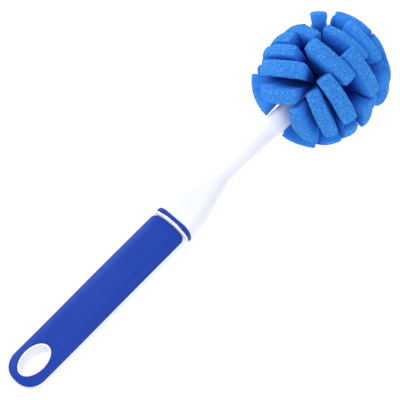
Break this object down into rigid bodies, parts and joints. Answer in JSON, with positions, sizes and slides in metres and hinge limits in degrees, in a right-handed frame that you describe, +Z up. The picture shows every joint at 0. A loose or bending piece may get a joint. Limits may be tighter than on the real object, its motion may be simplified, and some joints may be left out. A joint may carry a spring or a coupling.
{
  "type": "sponge brush",
  "caption": "Dish and bottle brush: a ball of fanned foam fins on a slim white neck, with a soft-touch blue grip pad and a hanging hole.",
  "frame": {"origin": "centre of the footprint on the surface that the brush lies on, under the middle of the bounding box", "axes": "+X along the brush from the handle's tail towards the ball, +Y across the handle, +Z up, with the grip pad on the upper side"},
  "size_m": [0.2866, 0.0754, 0.0786],
  "materials": {
    "white_plastic": "smooth moulded plastic with a soft gloss",
    "blue_rubber": "satin soft-touch moulding",
    "blue_foam": "open-cell foam with fine pores and die-cut sides"
  },
  "bodies": {
    "root": {"handle_core": "white_plastic", "grip_pad": "blue_rubber", "ring_band": "blue_rubber", "neck_shaft": "white_plastic", "end_plug": "white_plastic", "foam_disc_1": "blue_foam", "foam_disc_2": "blue_foam", "foam_disc_3": "blue_foam", "foam_disc_4": "blue_foam", "foam_disc_5": "blue_foam", "foam_disc_6": "blue_foam", "foam_disc_7": "blue_foam", "foam_disc_8": "blue_foam"}
  },
  "joints": []
}
